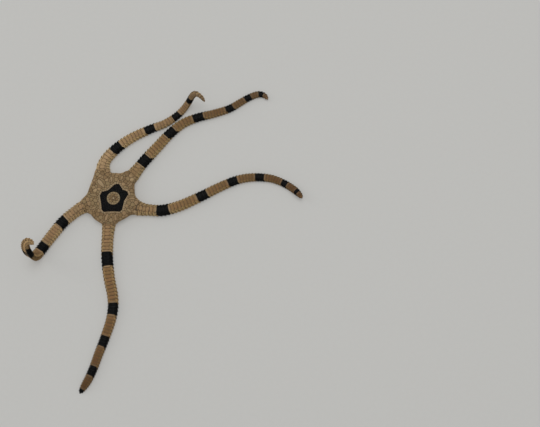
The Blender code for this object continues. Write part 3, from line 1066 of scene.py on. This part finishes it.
def star_skin(disc, arms, star):
    """One closed skin over the disc and the arms."""
    material = skin_finish()
    skin = disc_skin(disc, material)
    limbs = [arm_skin(arm, material) for arm in arms]
    for limb in limbs:
        union = skin.modifiers.new(limb.name, "BOOLEAN")
        union.operation = "UNION"
        union.object = limb
    evaluated = skin.evaluated_get(bpy.context.evaluated_depsgraph_get())
    joined = bpy.data.meshes.new_from_object(evaluated)
    skin.modifiers.clear()
    skin.data = joined
    for limb in limbs:
        bpy.data.objects.remove(limb, do_unlink=True)
    joined.shade_smooth()
    points = np.zeros(len(joined.vertices) * 3)
    joined.vertices.foreach_get("co", points)
    points = points.reshape(-1, 3) / MM - DISC_CENTRE
    black = joined.attributes.new("black", "FLOAT", "POINT")
    black.data.foreach_set("value", skin_black(points, arms, star).astype(np.float32))
    flesh = [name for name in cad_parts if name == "disc" or name.startswith("arm_")]
    return dress(skin, "disc_plates", *flesh)


def plain_fields(arm):
    return {"along": arm.along_share, "cream": arm.cream, "flank": arm.flank}


def banded_fields(arm):
    return {**plain_fields(arm), "band": arm.band, "spot": arm.brown_marks_and_painted_shade}


def back_joints(arm):
    """The joints whose backs show, from the one that starts inside the disc."""
    return arm.joints[INNER_JOINTS - 1 : -1]


def back_half(joint):
    """Half the width of a back plate, in half widths of the arm."""
    share = min(1.0, max(0, joint.number) / BASE_JOINTS)
    return BACK_PLATE_HALF_AT_DISC + (BACK_PLATE_HALF - BACK_PLATE_HALF_AT_DISC) * share


def back_plates(arm, random, material):
    """One broad plate over the ridge of each joint, its outer edge raised over the next one."""
    plates = Plates(f"{arm.name}_back_plates", arm.surface, BROAD_PLATE, 32, banded_fields(arm))
    for joint in back_joints(arm):
        half = back_half(joint)
        corners = (
            (0.06, 0.72 * half), (0.40, half), (0.80, 0.97 * half), (0.94, 0.70 * half), (0.98, 0.0),
            (0.94, -0.70 * half), (0.80, -0.97 * half), (0.40, -half), (0.06, -0.72 * half), (0.04, 0.0),
        )
        corners += random.normal(0, joint.unevenness, (len(corners), 2))
        plates.add(
            joint.outline(corners, 1, 0.16, 32), joint.scale, (-0.03 * joint.scale, 0.05 * joint.scale),
            tone=arm.tone(joint.middle, random),
        )
    return dress(plates.build(material), "arm_plates")


def side_scales(arm, random, material):
    """The small plates that fill in on each side between the back plates and the side plates."""
    plates = Plates(f"{arm.name}_side_scales", arm.surface, PEBBLE, 16, banded_fields(arm))
    for joint in back_joints(arm):
        half = back_half(joint)
        rows = [
            ((0.02, 0.74 * half), (0.10, 0.72 * half), (0.40, 1.02 * half), (0.42, FLANK_TOP), (0.06, FLANK_TOP)),
            ((0.47, half + 0.04), (0.84, half + 0.02), (0.92, FLANK_TOP - 0.04), (0.5, FLANK_TOP)),
            ((0.87, 0.98 * half), (1.0, 0.72 * half), (1.04, 0.78 * half), (1.0, half + 0.1), (0.95, FLANK_TOP - 0.06)),
        ]
        if joint.number < BASE_JOINTS:
            middle = (half + FLANK_TOP) / 2 + 0.03
            rows[1:2] = [
                ((0.47, half + 0.03), (0.84, half + 0.02), (0.86, middle - 0.02), (0.48, middle - 0.02)),
                ((0.48, middle + 0.02), (0.86, middle + 0.02), (0.90, FLANK_TOP - 0.02), (0.5, FLANK_TOP)),
            ]
        for side in (1, -1):
            for corners in rows:
                corners = np.array(corners) + random.normal(0, joint.unevenness, (len(corners), 2))
                plates.add(
                    joint.outline(corners, side, 0.12, 16), 0.8 * joint.scale,
                    tone=arm.tone(joint.middle, random),
                )
    return dress(plates.build(material), "arm_plates")


def side_plates(arm, random, material):
    """The large plates round the flanks, flared at their outer edge, where the spines sit."""
    plates = Plates(f"{arm.name}_side_plates", arm.surface, BROAD_PLATE, 32, banded_fields(arm))
    top = FLANK_TOP - 0.03
    bottom = SOLE - 0.47
    for joint in arm.joints[:-1]:
        for side in (1, -1):
            corners = np.array((
                (0.06, top + 0.08), (0.5, top - 0.02), (0.96, top + 0.04), (1.06, top + 0.30),
                (1.10, (top + bottom) / 2), (1.06, bottom - 0.25), (0.98, bottom), (0.4, bottom),
                (0.05, bottom - 0.2), (0.02, (top + bottom) / 2),
            ))
            corners += random.normal(0, 0.012, corners.shape)
            plates.add(
                joint.outline(corners, side, 0.18, 32), joint.scale, (-0.26 * joint.stand, 0.36 * joint.stand),
                tone=arm.tone(joint.middle, random),
            )
    return dress(plates.build(material), "arm_plates")


SPINES_PER_SIDE = 5
SPINE_LENGTH = 0.50  # of a joint's length


def spines(arm, random, material):
    """Short blunt spines that lie back along the flanks from each side plate's outer edge."""
    plates = Plates(f"{arm.name}_spines", arm.surface, SPINE, 10, plain_fields(arm))
    first, last = FLANK_TOP + 0.22, SOLE - 0.66
    turn = np.radians((0, 35, 65, 115, 145, 180, 215, 245, 295, 325))
    for joint in arm.joints[INNER_JOINTS:-1]:
        for side in (1, -1):
            for number in range(SPINES_PER_SIDE):
                across = first + (last - first) * number / (SPINES_PER_SIDE - 1)
                length = SPINE_LENGTH * random.uniform(0.88, 1.08)
                along = 0.92 + length * (0.5 + 0.5 * np.cos(turn))
                width = 0.085 * (1 - 0.1 * np.cos(turn)) * np.sin(turn)
                outline = np.column_stack((joint.start + along * joint.length, (across + width) * side))
                plates.add(
                    outline, joint.scale, (0.20 * joint.stand, 0.46 * joint.stand),
                    tone=arm.tone(joint.middle, random), spot=SPINE_SPOT,
                    black=float(arm.depth_in_bands(joint.middle, across * side) > 0),
                )
    return dress(plates.build(material), "arm_plates")


def sole_plates(arm, random, material):
    """One plate under each joint, between the side plates."""
    plates = Plates(f"{arm.name}_sole_plates", arm.surface, BROAD_PLATE, 24, plain_fields(arm))
    half = 0.36
    for joint in arm.joints[:-1]:
        corners = (
            (0.05, SOLE - 0.7 * half), (0.4, SOLE - 0.75 * half), (0.8, SOLE - half), (1.0, SOLE - 0.8 * half),
            (1.02, SOLE), (1.0, SOLE + 0.8 * half), (0.8, SOLE + half), (0.4, SOLE + 0.75 * half),
            (0.05, SOLE + 0.7 * half), (0.02, SOLE),
        )
        plates.add(
            joint.outline(corners, 1, 0.12, 24), joint.scale, (0.0, 0.04 * joint.scale),
            tone=arm.tone(joint.middle, random), black=0.75 * joint.black,
        )
    return dress(plates.build(material), "arm_plates")


def tentacle_scales(arm, random, material):
    """Two small oval scales over each tentacle pore, on both sides of every sole plate."""
    plates = Plates(f"{arm.name}_tentacle_scales", arm.surface, GRANULE, 12, plain_fields(arm))
    turn = np.radians(np.arange(0, 360, 30))
    for joint in arm.joints[:-1]:
        for side in (1, -1):
            for along, across in ((0.35, 0.40), (0.42, 0.51)):
                outline = np.column_stack((
                    joint.start + (along + 0.24 * np.cos(turn)) * joint.length,
                    (SOLE - across + 0.055 * np.sin(turn)) * side,
                ))
                plates.add(
                    outline, joint.scale, (0.02 * joint.scale, 0.08 * joint.scale),
                    tone=arm.tone(joint.middle, random), black=0.75 * joint.black,
                )
    return dress(plates.build(material), "arm_plates")


def arm_tips(arms, material):
    """The blunt last plate of each arm."""
    random = np.random.default_rng(SEED)
    count = 24
    across = np.linspace(0, SECTION_ROUND, count, endpoint=False)
    for arm in arms:
        start = arm.joints[-1].start
        reach = arm.length + TIP_OVERHANG - start
        rings = []
        for share in (0.0, 0.2, 0.4, 0.6, 0.75, 0.88, 0.96):
            along = start + reach * share
            middle = arm.surface(np.full(2, along), np.array((0, SOLE)), np.zeros(2)).mean(axis=0)
            ring = arm.surface(np.full(count, along), across, np.zeros(count))
            rings.append(middle + (ring - middle) * math.sqrt(1 - share**3))
        end = arm.surface(np.full(2, start + reach), np.array((0, SOLE)), np.zeros(2)).mean(axis=0)
        tip = closed_loft(f"{arm.name}_tip_plate", rings, rings[0].mean(axis=0), end, material)
        marks = {
            "band": float(arm.band(arm.length, 0)), "along": ARM_TONES[arm.name][1], "flank": 0.3,
            "tone": arm.tone(arm.length, random), "cream": arm.paleness(arm.length),
        }
        for mark, value in marks.items():
            values = np.full(len(tip.data.vertices), value, np.float32)
            tip.data.attributes.new(mark, "FLOAT", "POINT").data.foreach_set("value", values)
        dress(tip, "arm_plates")


def disc_mosaic(disc, arms, star):
    """Seeds of all the plates on the disc's back and rim, unrolled from the centre."""
    mosaic = Mosaic(SEED)
    mosaic.plant((0, 0), 0.42, "eye")
    for number in range(6):
        mosaic.plant(polar(60 * number + 20, 1.05), 0.42, "eye ring")
    for number in range(6):
        mosaic.plant(polar(60 * number + 48, 1.98), 0.58, "rosette")
    for number in range(BEAD_COUNT):
        for side, kind in ((-1, "bead"), (1, "black")):
            mosaic.plant(polar(360 / BEAD_COUNT * (number + 0.3), ROSETTE_RADIUS + 0.46 * side), 0.5, kind)
    corners = np.array([polar(degrees, radius) for degrees, radius in BLACK_STAR])
    plant_border(mosaic, corners[::-1], CREAM_ROW, ROW_SPACING, "black", "cream", 0.42)
    shields = [shield for pair in RADIAL_SHIELDS.values() for shield in pair]
    for degrees, distance, length, width, _ in shields:
        outline = egg(polar(degrees, distance), degrees, length, width)
        plant_border(mosaic, outline, SHIELD_BELT, 0.8, None, "scale", SMALL_SCALE)

    def on_shield(place):
        for degrees, distance, length, width, _ in shields:
            ahead = polar(degrees, 1)
            offset = place - polar(degrees, distance)
            along, across = offset @ ahead, offset @ np.array((-ahead[1], ahead[0]))
            if (along / (length / 2 + 0.2)) ** 2 + (across / (width / 2 + 0.2)) ** 2 < 1:
                return True
        return False

    def under_arm(point):
        for arm in arms:
            offset = point - arm.join
            side = abs(offset[0] * arm.outward[1] - offset[1] * arm.outward[0])
            if offset @ arm.outward > -0.3 and side < float(arm.half_width(0)) + 0.25:
                return True
        return False

    def black_at(place, size):
        on_star = star.holds(*place) and np.hypot(*place) > ROSETTE_RADIUS + 0.6
        return "black" if on_star else "outside"

    def kind_at(place, size):
        if star.holds(*place) or on_shield(place):
            return "outside"
        share = float(disc.section_share(*place))
        steep = disc.outline.steepness(math.degrees(math.atan2(place[1], place[0])))
        if size > SMALL_SCALE and share > 0.5 and steep > 1.35:
            return "outside"
        if share > 1.05:
            return "outside"
        if share > RIM_SCALES_END or under_arm(disc.back_place(*place)):
            return None
        return "plate"

    mosaic.scatter(8.5, 0.60, black_at, 1500)
    mosaic.scatter(23, 1.0, kind_at, 3500)
    mosaic.scatter(23, 0.75, kind_at, 5000)
    mosaic.scatter(23, SMALL_SCALE, kind_at, 2500)
    return mosaic


DISC_KINDS = {  # kind: (lowest tone, highest tone, black, cream, spot)
    "eye": (0.6, 0.7, 0, 0.25, 0),
    "eye ring": (0.0, 0.2, 0, 0, 0.15),
    "rosette": (0.1, 0.45, 0, 0, 0),
    "bead": (0.3, 0.45, 0, 0.10, 0),
    "black": (0.5, 0.5, 1, 0, 0),
    "cream": (0.5, 0.7, 0, 0.15, 0),
    "scale": (0.15, 0.6, 0, 0, 0),
    "plate": (0.1, 0.85, 0, 0, 0),
}


def disc_back_plates(disc, mosaic, material):
    """The mosaic of plates and scales on the disc's back and rim."""
    random = np.random.default_rng(SEED + 1)
    plates = Plates("disc_back_plates", disc.back, MOSAIC_PLATE, 24)
    for kind, size, cell in mosaic.cells():
        low, high, black, cream, spot = DISC_KINDS[kind]
        plates.add(
            cell_outline(cell, 0.045, 0.17, 24), min(1.15, 0.75 + 0.4 * size),
            tone=random.uniform(low, high), black=black, cream=cream * random.uniform(0.8, 1.1), spot=spot,
        )
    return dress(plates.build(material), "disc_plates")


def radial_shields(disc, material):
    """The ten long plates beside the arm bases."""
    plates = Plates("radial_shields", disc.back, BROAD_PLATE, 48)
    for pair in RADIAL_SHIELDS.values():
        for degrees, distance, length, width, paleness in pair:
            outline = egg(polar(degrees, distance), degrees, length - 0.16, width - 0.12)
            plates.add(outline, 1.1, tone=0.45 + 0.5 * paleness, cream=0.12 * paleness)
    return dress(plates.build(material), "disc_plates")


MOUTH_SHIELD_DISTANCE = 5.6
SOLE_ROW_SPACING = 1.6


def sole_mosaic(disc, arms):
    """Seeds of the plates under the disc: mouth shields, rows towards the arms and scales between."""
    mosaic = Mosaic(SEED + 2)
    for edge in DISC_EDGES:
        between = math.degrees(math.atan2(edge[1][1], edge[1][0]))
        mosaic.plant(polar(between, MOUTH_SHIELD_DISTANCE), 1.15, "mouth shield")
        for side in (1, -1):
            mosaic.plant(polar(between + side * 17, 4.5), 0.55, "mouth plate")
    for arm in arms:
        end = arm.join[:2] + arm.outward[:2] * arm.joint_ends[0]
        reach = np.linalg.norm(end)
        count = round((reach - MOUTH_RADIUS) / SOLE_ROW_SPACING)
        for distance in np.linspace(reach - 0.7, MOUTH_RADIUS + 0.5, count):
            ahead = end / reach
            aside = np.array((-ahead[1], ahead[0]))
            spread = 0.8 + 0.35 * distance / reach
            mosaic.plant(ahead * distance, 0.85, "sole plate")
            for side in (1, -1):
                mosaic.plant((ahead * distance + aside * side * 1.75 * spread), 0.8, "arm side")

    def kind_at(place, size):
        share = math.hypot(*place) / float(disc.outline.radius(math.degrees(math.atan2(place[1], place[0]))))
        if math.hypot(*place) < MOUTH_RADIUS - 0.4 or share > 1.05:
            return "outside"
        for arm in arms:
            offset = place - arm.join[:2]
            side = abs(offset[0] * arm.outward[1] - offset[1] * arm.outward[0])
            if offset @ arm.outward[:2] > arm.joint_ends[0] + 0.1 and side < arm.joints[0].half - 0.3:
                return None
        return "scale" if math.hypot(*place) > MOUTH_RADIUS + 0.3 and share < 0.93 else None

    mosaic.scatter(19, 0.50, kind_at, 5000)
    mosaic.scatter(19, 0.34, kind_at, 8000)
    return mosaic


SOLE_KINDS = {  # kind: (lowest tone, highest tone, cream)
    "mouth shield": (0.7, 0.9, 0.25),
    "mouth plate": (0.6, 0.9, 0.2),
    "sole plate": (0.6, 0.9, 0.1),
    "arm side": (0.4, 0.8, 0.0),
    "scale": (0.3, 0.9, 0.0),
}


def disc_sole_plates(disc, mosaic, material):
    random = np.random.default_rng(SEED + 3)
    plates = Plates("disc_sole_plates", disc.sole, PEBBLE, 24)
    for kind, size, cell in mosaic.cells():
        low, high, cream = SOLE_KINDS[kind]
        plates.add(
            cell_outline(cell, 0.085, 0.3, 24), 0.7, (-0.02, -0.02), tone=random.uniform(low, high),
            cream=cream, flank=FLANK_ON_SOLE,
        )
    return dress(plates.build(material), "disc_plates")


JAW_SHELL = (
    (0.0, 0.0), (0.4, -0.01), (0.75, -0.06), (0.93, -0.16), (1.0, -0.34), (0.98, -0.9), (0.92, -1.45), (0.0, -1.45),
)


def jaws(disc, material):
    """Five jaws round the mouth, each with a row of blunt papillae along both sides."""
    bodies = Plates("jaws", disc.sole, JAW_SHELL, 32)
    papillae = Plates("mouth_papillae", disc.sole, JAW_SHELL, 12)
    turn = np.radians(np.arange(0, 360, 30))
    for edge in DISC_EDGES:
        degrees = math.degrees(math.atan2(edge[1][1], edge[1][0]))
        ahead = polar(degrees, 1)
        aside = np.array((-ahead[1], ahead[0]))
        corners = [
            ahead * out + aside * side
            for out, side in ((0.7, 0.16), (2.6, 0.95), (3.6, 0.9), (3.6, -0.9), (2.6, -0.95), (0.7, -0.16))
        ]
        bodies.add(rounded(np.array(corners), 0.2, 32), 1.0, (-0.15, -0.15), tone=0.6)
        for side in (1, -1):
            for number in range(5):
                out = 0.85 + 0.55 * number
                middle = ahead * out + aside * side * (0.34 + 0.40 * (out - 0.7))
                oval = ahead * 0.30 * np.cos(turn)[:, None] + aside * 0.24 * np.sin(turn)[:, None]
                papillae.add(middle + oval, 0.7, (-0.22, -0.22), tone=0.8)
        middle = ahead * 0.55
        oval = ahead * 0.26 * np.cos(turn)[:, None] + aside * 0.24 * np.sin(turn)[:, None]
        papillae.add(middle + oval, 0.8, (-0.25, -0.25), tone=0.9)
    jaw_nodes = [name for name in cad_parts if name.startswith("jaw_")]
    return [dress(bodies.build(material), "jaw_plates", *jaw_nodes), dress(papillae.build(material), "jaw_plates")]


# Floor, light and camera

def make_floor():
    half = FLOOR_SIZE / 2
    corners = np.array(((-half, -half, -0.02), (half, -half, -0.02), (half, half, -0.02), (-half, half, -0.02)))
    floor = add_mesh("floor", corners, [np.array([[0, 1, 2, 3]])], floor_finish())


def aim(obj, target):
    obj.rotation_euler = (Vector(target) - obj.location).to_track_quat("-Z", "Y").to_euler()


def make_light(name, place, size, power):
    light = bpy.data.lights.new(name, "AREA")
    light.shape = "DISK"
    light.size = size
    light.energy = power
    obj = bpy.data.objects.new(name, light)
    obj.location = place
    aim(obj, (0, 0, 0))
    bpy.context.scene.collection.objects.link(obj)


def make_lights():
    make_light("key", (0.1, 0.7, 2.2), 1.6, 15.0)
    make_light("side", (-2.0, 0.7, 0.9), 1.2, 7.0)
    world = bpy.data.worlds.new("studio")
    world.use_nodes = True
    background = world.node_tree.nodes["Background"]
    background.inputs["Color"].default_value = (0.98, 0.99, 1.0, 1)
    background.inputs["Strength"].default_value = 0.50
    bpy.context.scene.world = world
    bpy.context.scene.view_settings.view_transform = "Standard"


def make_camera():
    camera = bpy.data.cameras.new("camera")
    camera.lens = CAMERA_LENS
    camera.sensor_width = CAMERA_SENSOR
    camera.clip_start = 0.01
    obj = bpy.data.objects.new("camera", camera)
    elevation = math.radians(CAMERA_ELEVATION)
    away = np.array((0, -math.cos(elevation), math.sin(elevation))) * CAMERA_DISTANCE
    obj.location = (DISC_CENTRE + CAMERA_TARGET + away) * MM
    obj.rotation_euler = (math.pi / 2 - elevation, 0, 0)
    bpy.context.scene.collection.objects.link(obj)
    bpy.context.scene.camera = obj


def main():
    make_camera()
    make_lights()
    make_floor()
    arms = [Arm(name) for name in ARM_ROUTES]
    disc = Disc()
    star = RoundOutline(np.array([polar(degrees, radius) for degrees, radius in BLACK_STAR]))
    arm_material = plate_finish("arm_plates", ARM_COLOURS)
    disc_material = plate_finish("disc_plates", DISC_COLOURS)
    star_skin(disc, arms, star)
    for number, arm in enumerate(arms):
        random = np.random.default_rng(SEED + 10 + number)
        for make in (back_plates, side_scales, side_plates, spines, sole_plates, tentacle_scales):
            make(arm, random, arm_material)
    arm_tips(arms, arm_material)
    disc_back_plates(disc, disc_mosaic(disc, arms, star), disc_material)
    radial_shields(disc, disc_material)
    disc_sole_plates(disc, sole_mosaic(disc, arms), disc_material)
    jaws(disc, jaw_finish())


main()
